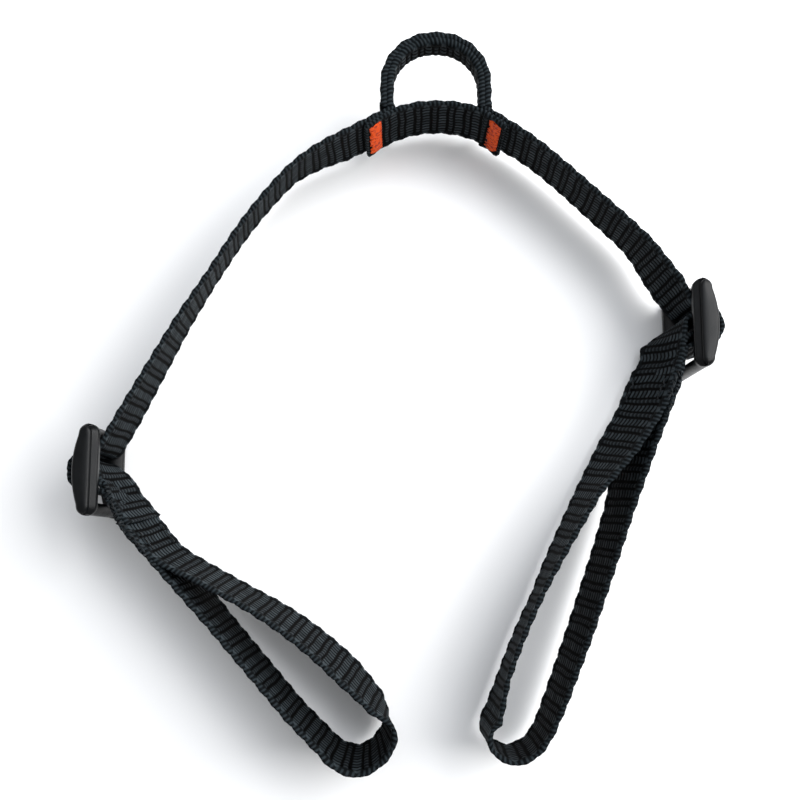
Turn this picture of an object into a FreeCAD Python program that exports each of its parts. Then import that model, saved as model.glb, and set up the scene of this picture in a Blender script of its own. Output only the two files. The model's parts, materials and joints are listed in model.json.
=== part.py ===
import FreeCAD, Part
import math
import os

# A double foot-loop strap in woven webbing. A short eye is sewn to the middle of the strap, and each of the
# two arms ends in a three-bar slide with a closed loop below it. Millimetres, +Z up, resting plane z = 0.
# The webbing stands on edge. The origin lies on the axis of the eye, x is to the right and y is towards
# the eye's far end. Plans are drawn for the right side, and the left side is their mirror image.

Vector = FreeCAD.Vector
up = Vector(0, 0, 1)

# Webbing
webbing_width = 25.0
webbing_thickness = 1.3
layer_gap = 0.1
joint_gap = 0.3
butt_gap = 0.1

# Bow: the sewn stack in the middle, which bends round a centre on the front side of the strap
bow_radius = 32.7
bow_centre_y = -43.5
cover_half_angle = 40.5
cover_tuck_angle = 13.0

# Eye: webbing folded lengthwise, bent into an arch, with its flat feet sewn behind the strap
eye_band_height = 10.0
eye_band_thickness = 3.4
eye_half_width = 15.7
eye_reach = 14.8
eye_corner_radius = 15.0
eye_foot_run = 3.22
eye_foot_shift = 0.4
arm_root_lead = 0.84
eye_seam_width = 0.8
eye_seam_height = 0.3

# Bar tacks
tack_angle = 35.5
tack_width = 4.0
tack_margin = 1.6
tack_height = 0.5

# Three-bar slide
slide_side_bar = 4.2
slide_side_clearance = 0.5
slide_bar_radius = 2.0
slide_bar_clearance = 0.15
slide_slot_slack = 4.6
slide_inner_depth = 3.2
slide_crown_depth = 4.2
slide_shoulder_depth = 2.5
slide_end_overhang = 0.2
slide_edge_radius = 0.9

# Webbing through the slide
pass_lead = 5.5
pass_entry_depth = 2.0
pass_bend_radius = 3.0
pass_slack = 2.0
wrap_bend_radius = 3.0
loop_pivot_run = 15.0
seam_margin_along = 1.0
seam_line_width = 0.8
seam_height = 0.4
seam_margin = 4.0

# The two sides. Angles are degrees below the x axis, and runs are measured between the bends' corners.
sides = {
    "left": {
        "mirror": -1,
        "exit_angle": 28.0,
        "runs": (29.2, 25.0, 39.5, 47.1),
        "turns": (21.0, 9.4, 3.2),
        "bend_radii": (60.0, 150.0, 150.0),
        "pivot_run": 13.0,
        "free_run": 36.0,
        "leg_angle": 41.4,
        "leg_offset": 0.1,
        "loop_split": 33.3,
        "loop_shoulder": 83.0,
        "loop_length": 119.3,
        "loop_far_side": 18.9,
        "split_radius": 25.0,
        "shoulder_radius": 140.0,
        "far_end_radius": 6.5,
        "near_end_radius": 11.5,
        "tail_run": 20.0,
    },
    "right": {
        "mirror": 1,
        "exit_angle": 31.5,
        "runs": (22.0, 38.7, 27.5),
        "turns": (11.5, 18.8),
        "bend_radii": (90.0, 38.0),
        "pivot_run": 11.0,
        "free_run": 15.0,
        "leg_angle": 21.0,
        "leg_offset": 2.3,
        "loop_split": 28.0,
        "loop_shoulder": 98.0,
        "loop_length": 139.5,
        "loop_far_side": 19.1,
        "split_radius": 30.0,
        "shoulder_radius": 200.0,
        "far_end_radius": 6.0,
        "near_end_radius": 10.0,
        "tail_run": 18.0,
    },
}

# Heights that follow from the sizes above
pitch = webbing_thickness + layer_gap
webbing_low = slide_side_bar + slide_side_clearance
webbing_high = webbing_low + webbing_width
slide_height = webbing_high + webbing_low
eye_low = webbing_high - eye_band_height
eye_middle = webbing_high - eye_band_height / 2

# Radii of the layers of the bow, to the middle of each layer
cover_radius = bow_radius
tuck_radius = bow_radius + pitch
strap_radius = bow_radius + 2 * pitch
foot_radius = bow_radius + 3 * pitch

# Radii of the layers round the slide's centre bar
wrap_radius = slide_bar_radius + slide_bar_clearance + webbing_thickness / 2
pass_radius = wrap_radius + pitch + pass_slack
slide_end_bar_run = slide_bar_radius + 2 * pitch + slide_slot_slack + slide_bar_radius


# Plan geometry

def on_circle(centre, radius, degrees):
    angle = math.radians(degrees)
    return centre + Vector(math.cos(angle), math.sin(angle), 0) * radius


def line(start, end):
    return ("line", start, end)


def arc(centre, radius, start_degrees, sweep_degrees):
    return ("arc", centre, radius, start_degrees, sweep_degrees)


def rounded(corners):
    """A polyline with each corner (point, radius) rounded. The end points have no radius."""
    path = []
    start = corners[0][0]
    for (before, _), (here, radius), (after, _) in zip(corners, corners[1:], corners[2:]):
        way_in = (here - before).normalize()
        way_out = (after - here).normalize()
        turn = math.atan2(way_in.cross(way_out).z, way_in.dot(way_out))
        trim = radius * math.tan(abs(turn) / 2)
        inward = up.cross(way_in) * math.copysign(1, turn)
        first = here - way_in * trim
        centre = first + inward * radius
        spoke = first - centre
        path.append(line(start, first))
        path.append(arc(centre, radius, math.degrees(math.atan2(spoke.y, spoke.x)), math.degrees(turn)))
        start = here + way_out * trim
    path.append(line(start, corners[-1][0]))
    return path


def shifted(step, left):
    """A step of a path, moved to its left by a distance."""
    if step[0] == "line":
        way = (step[2] - step[1]).normalize()
        move = up.cross(way) * left
        return line(step[1] + move, step[2] + move)
    _, centre, radius, start, sweep = step
    return arc(centre, radius - math.copysign(left, left * sweep), start, sweep)


def step_ends(step):
    if step[0] == "line":
        return step[1], step[2]
    _, centre, radius, start, sweep = step
    return on_circle(centre, radius, start), on_circle(centre, radius, start + sweep)


def step_edge(step):
    first, last = step_ends(step)
    if step[0] == "line":
        return Part.makeLine(first, last)
    _, centre, radius, start, sweep = step
    return Part.Arc(first, on_circle(centre, radius, start + sweep / 2), last).toShape()


def ribbon(path, thickness, low, height, offset=0.0):
    """A flat strap of one thickness that stands on edge along a path."""
    left = [shifted(step, offset + thickness / 2) for step in path]
    right = [shifted(step, offset - thickness / 2) for step in path]
    edges = [step_edge(step) for step in left + right]
    edges.append(Part.makeLine(step_ends(left[0])[0], step_ends(right[0])[0]))
    edges.append(Part.makeLine(step_ends(left[-1])[1], step_ends(right[-1])[1]))
    outline = Part.Wire(Part.__sortEdges__(edges))
    solid = Part.Face(outline).extrude(up * height)
    solid.translate(up * low)
    return solid


def webbing(path):
    return ribbon(path, webbing_thickness, webbing_low, webbing_width)


def half_space(point, way):
    """A large block that lies ahead of a point."""
    size = 4 * slide_height
    block = Part.makeBox(size, 2 * size, 2 * size, Vector(0, -size, -size))
    block.Placement = FreeCAD.Placement(point, FreeCAD.Rotation(Vector(1, 0, 0), way))
    return block


def nosed(solid, pivot, way, axis, radius):
    """Keeps what lies ahead of a pivot, with a round nose about the pivot's axis."""
    size = 4 * slide_height
    nose = Part.makeCylinder(radius, 2 * size, pivot - axis * size, axis)
    keep = half_space(pivot, way).fuse(nose)
    return solid.common(keep)


def flipped(point):
    return Vector(-point.x, point.y, point.z)


def mirrored(shape, side):
    if side["mirror"] > 0:
        return shape
    return shape.mirror(Vector(0, 0, 0), Vector(1, 0, 0))


# Places on one side, in the right-hand plan

bow_centre = Vector(0, bow_centre_y, 0)


def falling(degrees):
    angle = math.radians(degrees)
    return Vector(math.cos(angle), -math.sin(angle), 0)


def strap_exit(side):
    return on_circle(bow_centre, strap_radius, 90 - side["exit_angle"])


def arm_pivot(side):
    return strap_exit(side) + falling(side["exit_angle"]) * side["pivot_run"]


def arm_corners(side):
    """The arm's corners from the bow to the slide's entry, each with its bend radius."""
    place = strap_exit(side)
    heading = side["exit_angle"]
    corners = []
    for run, turn, radius in zip(side["runs"], side["turns"] + (0,), side["bend_radii"] + (0,)):
        place = place + falling(heading) * run
        heading += turn
        corners.append((place, radius))
    return corners


def arm_heading(side):
    return side["exit_angle"] + sum(side["turns"])


def slide_centre(side):
    entry = arm_corners(side)[-1][0]
    return entry + Vector(pass_entry_depth, -pass_radius, 0)


def at_slide(side, along, out):
    """A point beside the slide: along its length, and out from its centre bar."""
    return slide_centre(side) + Vector(out, -along, 0)


def at_leg(side, run, rise):
    """A point beside the legs: along them from the centre bar, and across them towards the inner side."""
    angle = math.radians(side["leg_angle"])
    along = run * math.cos(angle) - rise * math.sin(angle)
    out = -run * math.sin(angle) - rise * math.cos(angle)
    return at_slide(side, along, out)


def leg_way(side):
    return (at_leg(side, 1, 0) - at_leg(side, 0, 0)).normalize()


def leg_corner(side, along, rise):
    """Where the line of a leg crosses a line that runs straight through the slide."""
    angle = math.radians(side["leg_angle"])
    out = -(rise + along * math.sin(angle)) / math.cos(angle)
    return at_slide(side, along, out)


def outer_rise(side):
    # the cut leg, two layers further in, just clears the slide's centre bar
    return side["leg_offset"] + wrap_radius - 2 * pitch


def inner_rise(side):
    return outer_rise(side) + pitch


def cut_rise(side):
    return outer_rise(side) + 2 * pitch


def bundle_half():
    return webbing_thickness / 2 + pitch


def loop_pivot(side):
    return at_leg(side, loop_pivot_run, inner_rise(side))


# Middle

def bow_path(radius, from_degrees, to_degrees):
    """Part of a layer of the bow, between two angles to the right of the middle."""
    return [arc(bow_centre, radius, 90 - from_degrees, from_degrees - to_degrees)]


def foot_angle(run):
    """The angle of a place on the eye's foot, measured from the foot's middle."""
    leg = math.degrees(math.asin(eye_half_width / foot_radius))
    return leg + math.degrees((eye_foot_shift + run) / foot_radius)


def make_arm_root(side):
    """The arm's sewn end behind the cover, up to where the arm flexes."""
    stop = webbing_thickness / 2 + joint_gap
    end = arm_pivot(side) - falling(side["exit_angle"]) * stop
    path = bow_path(strap_radius, foot_angle(-eye_foot_run / 2 - arm_root_lead), side["exit_angle"])
    path.append(line(strap_exit(side), end))
    return webbing(path)


def make_front_cover():
    tuck_end = cover_half_angle - cover_tuck_angle
    turn_radius = pitch / 2
    right_turn = on_circle(bow_centre, bow_radius + turn_radius, 90 - cover_half_angle)
    left_turn = on_circle(bow_centre, bow_radius + turn_radius, 90 + cover_half_angle)
    path = bow_path(tuck_radius, -tuck_end, -cover_half_angle)
    path.append(arc(left_turn, turn_radius, 90 + cover_half_angle, 180))
    path += bow_path(cover_radius, -cover_half_angle, cover_half_angle)
    path.append(arc(right_turn, turn_radius, -90 - cover_half_angle, 180))
    path += bow_path(tuck_radius, cover_half_angle, tuck_end)
    return webbing(path)


def make_eye_foot():
    return webbing(bow_path(foot_radius, foot_angle(-eye_foot_run / 2), foot_angle(eye_foot_run / 2)))


def make_bar_tack():
    """A dense block of thread that stands a little proud of the cover's front."""
    middle = cover_radius - (webbing_thickness + tack_height) / 2
    half = math.degrees(tack_width / 2 / middle)
    path = bow_path(middle, tack_angle - half, tack_angle + half)
    return ribbon(path, tack_height, webbing_low + tack_margin, webbing_width - 2 * tack_margin)


# Eye

def eye_hinge_y():
    back = foot_radius + webbing_thickness / 2
    near = eye_half_width - eye_band_thickness / 2
    return bow_centre_y + math.sqrt(back**2 - near**2) + eye_band_height / 2 + joint_gap


def eye_path(start_y):
    crown = eye_hinge_y() + eye_reach
    corners = [
        (Vector(-eye_half_width, start_y, 0), 0),
        (Vector(-eye_half_width, crown, 0), eye_corner_radius),
        (Vector(eye_half_width, crown, 0), eye_corner_radius),
        (Vector(eye_half_width, start_y, 0), 0),
    ]
    return rounded(corners)


def make_eye_band():
    path = eye_path(eye_hinge_y() - eye_band_height / 2)
    band = ribbon(path, eye_band_thickness, eye_low, eye_band_height)
    hinge = Vector(0, eye_hinge_y(), eye_middle)
    return nosed(band, hinge, Vector(0, 1, 0), Vector(1, 0, 0), eye_band_height / 2)


def make_eye_seam():
    """A line of thread along the top of the band, from the hinge line on."""
    hinge = Vector(0, eye_hinge_y(), eye_middle)
    path = eye_path(eye_hinge_y() - eye_band_height / 2)
    seam = ribbon(path, eye_seam_width, webbing_high, eye_seam_height)
    return seam.common(half_space(hinge, Vector(0, 1, 0)))


# Arms

def free_run_ends(side):
    """Both ends of the arm's free run, which shortens when the slide moves up the arm."""
    entry = arm_corners(side)[-1][0]
    way = falling(arm_heading(side))
    lower = entry - way * (pass_lead + joint_gap)
    return lower - way * side["free_run"], lower


def make_arm_upper(side):
    pivot = arm_pivot(side)
    way = falling(side["exit_angle"])
    corners = [(pivot - way * webbing_thickness / 2, 0)] + arm_corners(side)[:-1]
    end = free_run_ends(side)[0] - falling(arm_heading(side)) * butt_gap
    strap = webbing(rounded(corners + [(end, 0)]))
    return nosed(strap, pivot, way, up, webbing_thickness / 2)


def make_arm_lower(side):
    return webbing([line(*free_run_ends(side))])


# Webbing at the slide

def make_pass(side):
    """The strap's run in at one slot, over the centre bar and out at the other slot."""
    entry = arm_corners(side)[-1][0]
    start = entry - falling(arm_heading(side)) * pass_lead
    crown = pass_radius - layer_gap / 2
    stop = loop_pivot_run - bundle_half() - joint_gap
    corners = [
        (start, 0),
        (entry, pass_bend_radius),
        (at_slide(side, -pass_radius, pass_radius), crown),
        (at_slide(side, pass_radius, pass_radius), crown),
        (leg_corner(side, pass_radius, outer_rise(side)), pass_bend_radius),
        (at_leg(side, stop, outer_rise(side)), 0),
    ]
    return webbing(rounded(corners))


def make_sewn_end(side):
    """The strap's end, wrapped round the centre bar, up to where the legs flex."""
    crown = wrap_radius - layer_gap / 2
    stop = loop_pivot_run - bundle_half() - joint_gap
    corners = [
        (at_leg(side, stop, inner_rise(side)), 0),
        (leg_corner(side, wrap_radius, inner_rise(side)), wrap_bend_radius),
        (at_slide(side, wrap_radius, wrap_radius), crown),
        (at_slide(side, -wrap_radius, wrap_radius), crown),
        (leg_corner(side, -wrap_radius, cut_rise(side)), wrap_bend_radius),
        (at_leg(side, stop, cut_rise(side)), 0),
    ]
    return webbing(rounded(corners))


def flexed(solid, side):
    """Rounds the legs' start about the line where they flex."""
    return nosed(solid, loop_pivot(side), leg_way(side), up, bundle_half())


def split_turn(side):
    rise = side["loop_far_side"] - inner_rise(side)
    return math.atan2(rise, side["loop_shoulder"] - side["loop_split"])


def seam_room(side):
    """How far before the split's corner the inner leg is still straight."""
    return side["split_radius"] * math.tan(split_turn(side) / 2)


def make_loop(side):
    start = loop_pivot_run - bundle_half()
    end = side["loop_length"]
    far = side["loop_far_side"]
    corners = [
        (at_leg(side, start, inner_rise(side)), 0),
        (at_leg(side, side["loop_split"], inner_rise(side)), side["split_radius"]),
        (at_leg(side, side["loop_shoulder"], far), side["shoulder_radius"]),
        (at_leg(side, end, far), side["far_end_radius"]),
        (at_leg(side, end, outer_rise(side)), side["near_end_radius"]),
        (at_leg(side, start, outer_rise(side)), 0),
    ]
    return flexed(webbing(rounded(corners)), side)


def make_cut_end(side):
    """The sewn tail beyond the flex line, along the inner leg."""
    start = at_leg(side, loop_pivot_run - bundle_half(), cut_rise(side))
    end = at_leg(side, side["tail_run"], cut_rise(side))
    return flexed(webbing([line(start, end)]), side)


def make_end_seam(side):
    """Two lines of thread that hold the legs together, from the tail's end to the split."""
    rise = inner_rise(side) + (webbing_thickness + seam_height) / 2
    start = at_leg(side, side["tail_run"] + seam_margin_along, rise)
    end = at_leg(side, side["loop_split"] - seam_room(side), rise)
    lows = (webbing_low + seam_margin, webbing_high - seam_margin - seam_line_width)
    return Part.makeCompound([ribbon([line(start, end)], seam_height, low, seam_line_width) for low in lows])


# Slide

def make_slide(side):
    half = slide_end_bar_run + slide_bar_radius
    shoulder = slide_end_bar_run - slide_bar_radius / 2
    tip = half + slide_end_overhang
    middle = (slide_shoulder_depth - slide_inner_depth) / 2

    def point(along, out):
        return Vector(out, -along, 0)

    def end_arc(sign):
        first = point(sign * shoulder, -slide_inner_depth)
        last = point(sign * shoulder, slide_shoulder_depth)
        return Part.Arc(first, point(sign * tip, middle), last).toShape()

    crown = Part.Arc(
        point(-shoulder, slide_shoulder_depth),
        point(0, slide_crown_depth),
        point(shoulder, slide_shoulder_depth),
    ).toShape()
    inner = Part.makeLine(point(-shoulder, -slide_inner_depth), point(shoulder, -slide_inner_depth))
    outline = Part.Wire(Part.__sortEdges__([inner, end_arc(1), crown, end_arc(-1)]))
    bar = Part.Face(outline).extrude(up * slide_side_bar)
    bar = bar.makeFillet(slide_edge_radius, bar.Edges)
    solid = bar.copy()
    bar.translate(up * (slide_height - slide_side_bar))
    solid = solid.fuse(bar)
    tall = slide_height - slide_side_bar
    for along in (-slide_end_bar_run, 0, slide_end_bar_run):
        post = Part.makeCylinder(slide_bar_radius, tall, point(along, 0) + up * slide_side_bar / 2)
        solid = solid.fuse(post)
    solid = solid.removeSplitter()
    solid.translate(slide_centre(side))
    return solid


# Export

def save(name, shape):
    shape.exportStep(f"parts/{name}.step")


os.makedirs("parts", exist_ok=True)
save("front_cover", make_front_cover())
save("eye_band", make_eye_band())
save("eye_fold_seam", make_eye_seam())
for name, side in sides.items():
    pieces = {
        "arm_root": make_arm_root(side),
        "eye_foot": make_eye_foot(),
        "bar_tack": make_bar_tack(),
        "arm_upper": make_arm_upper(side),
        "arm_lower": make_arm_lower(side),
        "slide": make_slide(side),
        "pass": make_pass(side),
        "sewn_end": make_sewn_end(side),
        "loop": make_loop(side),
        "cut_end": make_cut_end(side),
        "end_seam": make_end_seam(side),
    }
    for piece, shape in pieces.items():
        save(f"{name}_{piece}", mirrored(shape, side))
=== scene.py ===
import json
import math

import bmesh
import bpy
import numpy as np
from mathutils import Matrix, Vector


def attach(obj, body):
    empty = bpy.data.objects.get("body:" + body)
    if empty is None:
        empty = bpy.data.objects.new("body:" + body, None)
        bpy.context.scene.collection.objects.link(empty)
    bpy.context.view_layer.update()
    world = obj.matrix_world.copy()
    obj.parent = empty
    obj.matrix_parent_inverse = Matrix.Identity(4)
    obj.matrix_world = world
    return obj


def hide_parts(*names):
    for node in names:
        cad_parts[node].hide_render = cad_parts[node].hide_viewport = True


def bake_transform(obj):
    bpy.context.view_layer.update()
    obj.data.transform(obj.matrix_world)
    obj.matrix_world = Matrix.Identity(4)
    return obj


# A double foot-loop strap. The webbing stands on its edge, so "across" is the height on the webbing,
# "along" is the run from the middle of the bow, and "through" is its thickness. Plans are in millimetres.

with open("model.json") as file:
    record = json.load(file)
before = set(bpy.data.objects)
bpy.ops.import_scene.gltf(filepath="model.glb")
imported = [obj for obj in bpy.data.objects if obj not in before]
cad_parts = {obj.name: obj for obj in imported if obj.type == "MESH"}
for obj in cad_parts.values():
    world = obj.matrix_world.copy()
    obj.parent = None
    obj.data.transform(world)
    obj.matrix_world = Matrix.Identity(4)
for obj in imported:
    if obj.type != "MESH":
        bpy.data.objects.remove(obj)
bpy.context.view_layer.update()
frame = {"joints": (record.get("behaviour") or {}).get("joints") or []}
joints = {joint["name"]: joint for joint in frame["joints"]}
mm = 0.001


# Colours and nodes

def srgb(code):
    channels = [int(code[i:i + 2], 16) / 255 for i in (1, 3, 5)]
    return tuple(c / 12.92 if c <= 0.04045 else ((c + 0.055) / 1.055) ** 2.4 for c in channels) + (1.0,)


def addNode(tree, kind, settings, links):
    # a link is a node, whose first output is taken, an output socket, or a plain value
    node = tree.nodes.new(kind)
    for key, value in settings.items():
        setattr(node, key, value)
    for key, value in links.items():
        if isinstance(value, bpy.types.Node):
            value = value.outputs[0]
        if isinstance(value, bpy.types.NodeSocket):
            tree.links.new(value, node.inputs[key])
        else:
            node.inputs[key].default_value = value
    return node


def newTree(name, inputs):
    tree = bpy.data.node_groups.new(name, "GeometryNodeTree")
    tree.interface.new_socket("Geometry", in_out="OUTPUT", socket_type="NodeSocketGeometry")
    for label, kind in inputs.items():
        tree.interface.new_socket(label, in_out="INPUT", socket_type="NodeSocket" + kind)
    return tree, tree.nodes.new("NodeGroupInput").outputs


def finishTree(tree, geometry, material):
    realized = addNode(tree, "GeometryNodeRealizeInstances", {}, {0: geometry})
    painted = addNode(tree, "GeometryNodeSetMaterial", {}, {"Geometry": realized, "Material": material})
    addNode(tree, "NodeGroupOutput", {}, {0: painted})


def growMesh(name, mesh, tree, values):
    # runs a node tree on a mesh and keeps the result as a plain mesh
    base = bpy.data.objects.new(name + "Base", mesh)
    bpy.context.scene.collection.objects.link(base)
    modifier = base.modifiers.new("grow", "NODES")
    modifier.node_group = tree
    for item in tree.interface.items_tree:
        if item.in_out == "INPUT" and item.name in values:
            modifier[item.identifier] = values[item.name]
    graph = bpy.context.evaluated_depsgraph_get()
    grown = bpy.data.meshes.new_from_object(base.evaluated_get(graph), depsgraph=graph)
    grown.name = name
    piece = bpy.data.objects.new(name, grown)
    bpy.context.scene.collection.objects.link(piece)
    bpy.data.objects.remove(base)
    return piece


# Materials

webbingLook = {
    # painted shade: the near-black colour laid in the grooves between the ribs
    "paintedGrooveShade": "#010101",
    "cordRib": "#32393d",
    "smoothRib": "#31373b",
    "smoothAt": 0.20,      # places in one repeat of the weave, from 0 to 1
    "cordAt": 0.68,
    # the dip is painted shade between the cords
    "smoothDip": 0.25,     # how bright a smooth rib stays between its strokes
    "cord": 2.2,          # mm across one cord
    "roughness": 0.5,
    "specular": 0.02,
    "bump": 0.22,          # mm
}


def near(tree, value, centre, outer, inner):
    # 1 close to the centre, 0 beyond the outer distance
    away = addNode(tree, "ShaderNodeMath", {"operation": "SUBTRACT"}, {0: value, 1: centre})
    size = addNode(tree, "ShaderNodeMath", {"operation": "ABSOLUTE"}, {0: away})
    return addNode(tree, "ShaderNodeMapRange", {"interpolation_type": "SMOOTHSTEP"},
                   {0: size, 1: inner, 2: outer, 3: 1.0, 4: 0.0})


def makeWovenPolyester():
    # filament polyester webbing: smooth ribs and corded ribs shine softly through painted highlight on their crowns,
    # the grooves are painted near black as painted shade, and the selvages stay black
    look = webbingLook
    material = bpy.data.materials.new("wovenPolyesterWebbing")
    material.use_nodes = True
    tree = material.node_tree
    shader = tree.nodes["Principled BSDF"]
    place = addNode(tree, "ShaderNodeAttribute", {"attribute_name": "place"}, {}).outputs["Vector"]
    phase = addNode(tree, "ShaderNodeAttribute", {"attribute_name": "phase"}, {}).outputs["Fac"]
    across = addNode(tree, "ShaderNodeSeparateXYZ", {}, {0: place}).outputs[1]
    turn = addNode(tree, "ShaderNodeMath", {"operation": "FRACT"}, {0: phase})
    count = addNode(tree, "ShaderNodeMath", {"operation": "FLOOR"}, {0: phase})
    smoothRib = near(tree, turn, look["smoothAt"], 0.15, 0.08)
    cordRib = near(tree, turn, look["cordAt"], 0.26, 0.17)
    # cords bend a little as they dive under the smooth rib
    swing = addNode(tree, "ShaderNodeMath", {"operation": "SINE"},
                    {0: addNode(tree, "ShaderNodeMath", {"operation": "MULTIPLY"}, {0: phase, 1: 2 * math.pi})})
    bent = addNode(tree, "ShaderNodeMath", {"operation": "MULTIPLY_ADD"}, {0: swing, 1: 0.6, 2: across})
    row = addNode(tree, "ShaderNodeMath", {"operation": "DIVIDE"}, {0: bent, 1: look["cord"]})
    wave = addNode(tree, "ShaderNodeMath", {"operation": "SINE"},
                   {0: addNode(tree, "ShaderNodeMath", {"operation": "MULTIPLY"}, {0: row, 1: math.pi})})
    arch = addNode(tree, "ShaderNodeMath", {"operation": "ABSOLUTE"}, {0: wave})
    # painted highlight on each cord's crown and painted shade between the cords, over the yarn's own tone
    cord = addNode(tree, "ShaderNodeMapRange", {"interpolation_type": "SMOOTHSTEP"},
                   {0: arch, 1: 0.35, 2: 0.85, 3: 0.0, 4: 1.0})
    rowKey = addNode(tree, "ShaderNodeMath", {"operation": "MULTIPLY_ADD"},
                     {0: count, 1: 31.0, 2: addNode(tree, "ShaderNodeMath", {"operation": "FLOOR"}, {0: row})})
    chance = addNode(tree, "ShaderNodeTexWhiteNoise", {"noise_dimensions": "1D"}, {"W": rowKey}).outputs[0]
    strength = addNode(tree, "ShaderNodeMapRange", {}, {0: chance, 3: 0.55, 4: 1.0})
    cords = addNode(tree, "ShaderNodeMath", {"operation": "MULTIPLY"},
                    {0: addNode(tree, "ShaderNodeMath", {"operation": "MULTIPLY"}, {0: cordRib, 1: cord}), 1: strength})
    streak = addNode(tree, "ShaderNodeTexNoise", {},
                     {"Vector": addNode(tree, "ShaderNodeVectorMath", {"operation": "MULTIPLY"},
                                        {0: place, 1: (0.5, 1.3, 1.0)}), "Scale": 1.0, "Detail": 2.0})
    streaks = addNode(tree, "ShaderNodeMapRange", {}, {0: streak.outputs[0], 1: 0.3, 2: 0.7, 3: 0.5, 4: 1.0})
    # painted shade: the smooth rib dims between the cords
    softer = addNode(tree, "ShaderNodeMapRange", {"interpolation_type": "SMOOTHSTEP"},
                     {0: arch, 1: 0.2, 2: 0.95, 3: 1.0, 4: look["smoothDip"]})
    smooth = addNode(tree, "ShaderNodeMath", {"operation": "MULTIPLY"},
                     {0: addNode(tree, "ShaderNodeMath", {"operation": "MULTIPLY"}, {0: smoothRib, 1: streaks}),
                      1: softer})
    body = addNode(tree, "ShaderNodeMath", {"operation": "MAXIMUM"}, {0: smooth, 1: cords})
    # selvage: black, with a painted highlight on the one end of weft beside each corded rib
    rest = addNode(tree, "ShaderNodeMath", {"operation": "SUBTRACT"}, {0: webbing["width"], 1: across})
    edge = addNode(tree, "ShaderNodeMath", {"operation": "MINIMUM"}, {0: across, 1: rest})
    inSelvage = addNode(tree, "ShaderNodeMapRange", {"interpolation_type": "SMOOTHSTEP"},
                        {0: edge, 1: 2.0, 2: 2.9, 3: 1.0, 4: 0.0})
    paintedWeftHighlight = addNode(tree, "ShaderNodeMath", {"operation": "MULTIPLY"},
                      {0: near(tree, turn, look["cordAt"], 0.24, 0.08), 1: near(tree, edge, 1.5, 1.5, 0.5)})
    # short oblique strokes on the very edge
    slant = addNode(tree, "ShaderNodeMath", {"operation": "MULTIPLY_ADD"},
                    {0: phase, 1: 4 * math.pi, 2: addNode(tree, "ShaderNodeSeparateXYZ", {}, {0: place}).outputs[2]})
    strokes = addNode(tree, "ShaderNodeMath", {"operation": "ABSOLUTE"},
                      {0: addNode(tree, "ShaderNodeMath", {"operation": "SINE"}, {0: slant})})
    rim = addNode(tree, "ShaderNodeMath", {"operation": "MULTIPLY"},
                  {0: near(tree, edge, 0.0, 1.1, 0.5),
                   1: addNode(tree, "ShaderNodeMapRange", {"interpolation_type": "SMOOTHSTEP"},
                              {0: strokes, 1: 0.5, 2: 0.95, 3: 0.0, 4: 0.6})})
    dull = addNode(tree, "ShaderNodeMath", {"operation": "MULTIPLY"}, {0: streaks, 1: 0.16})
    selvage = addNode(tree, "ShaderNodeMath", {"operation": "MAXIMUM"},
                      {0: paintedWeftHighlight, 1: addNode(tree, "ShaderNodeMath", {"operation": "MAXIMUM"}, {0: dull, 1: rim})})
    pattern = addNode(tree, "ShaderNodeMix", {}, {0: inSelvage, 2: body, 3: selvage})
    ribs = addNode(tree, "ShaderNodeMix", {"data_type": "RGBA"},
                   {0: smoothRib, 6: srgb(look["cordRib"]), 7: srgb(look["smoothRib"])})
    # the colour runs from the painted groove shade up to the ribs' grey, which carries the painted highlight on their
    # crowns
    colour = addNode(tree, "ShaderNodeMix", {"data_type": "RGBA"},
                     {0: pattern, 6: srgb(look["paintedGrooveShade"]), 7: ribs.outputs[2]})
    gloss = addNode(tree, "ShaderNodeMapRange", {},
                    {0: pattern, 3: look["roughness"] + 0.25, 4: look["roughness"]})
    bump = addNode(tree, "ShaderNodeBump", {}, {"Height": pattern, "Distance": look["bump"] * mm, "Strength": 0.8})
    tree.links.new(colour.outputs[2], shader.inputs["Base Color"])
    tree.links.new(gloss.outputs[0], shader.inputs["Roughness"])
    tree.links.new(bump.outputs[0], shader.inputs["Normal"])
    shader.inputs["Specular IOR Level"].default_value = look["specular"]
    return material


threadLook = {
    "black": ("#030404", "#1c2124"),
    "orange": ("#9c2406", "#e2500f"),
    "twist": 0.35,         # mm between the turns of the ply
}


def makeSewingThread(name, low, high, roughness):
    # twisted polyester sewing thread, a little glossier than the webbing
    material = bpy.data.materials.new(name)
    material.use_nodes = True
    tree = material.node_tree
    shader = tree.nodes["Principled BSDF"]
    place = addNode(tree, "ShaderNodeTexCoord", {}, {}).outputs["Object"]
    coarse = addNode(tree, "ShaderNodeTexNoise", {}, {"Vector": place, "Scale": 900.0, "Detail": 2.0})
    fine = addNode(tree, "ShaderNodeTexNoise", {}, {"Vector": place, "Scale": 1.0 / (threadLook["twist"] * mm),
                                                    "Detail": 2.0})
    blendIn = addNode(tree, "ShaderNodeMapRange", {}, {0: coarse.outputs[0], 1: 0.36, 2: 0.52, 3: 0.0, 4: 1.0})
    colour = addNode(tree, "ShaderNodeMix", {"data_type": "RGBA"}, {0: blendIn, 6: srgb(low), 7: srgb(high)})
    bump = addNode(tree, "ShaderNodeBump", {}, {"Height": fine.outputs[0], "Distance": 0.08 * mm})
    tree.links.new(colour.outputs[2], shader.inputs["Base Color"])
    tree.links.new(bump.outputs[0], shader.inputs["Normal"])
    shader.inputs["Roughness"].default_value = roughness
    shader.inputs["Specular IOR Level"].default_value = 0.15
    return material


acetalLook = {
    "colour": "#040506",
    "worn": "#090b0d",
    "grain": 0.3,          # mm, a fine spark-eroded grain, drawn a little coarser so that it shows
    "roughness": 0.32,
    "specular": 0.2,
}


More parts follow.
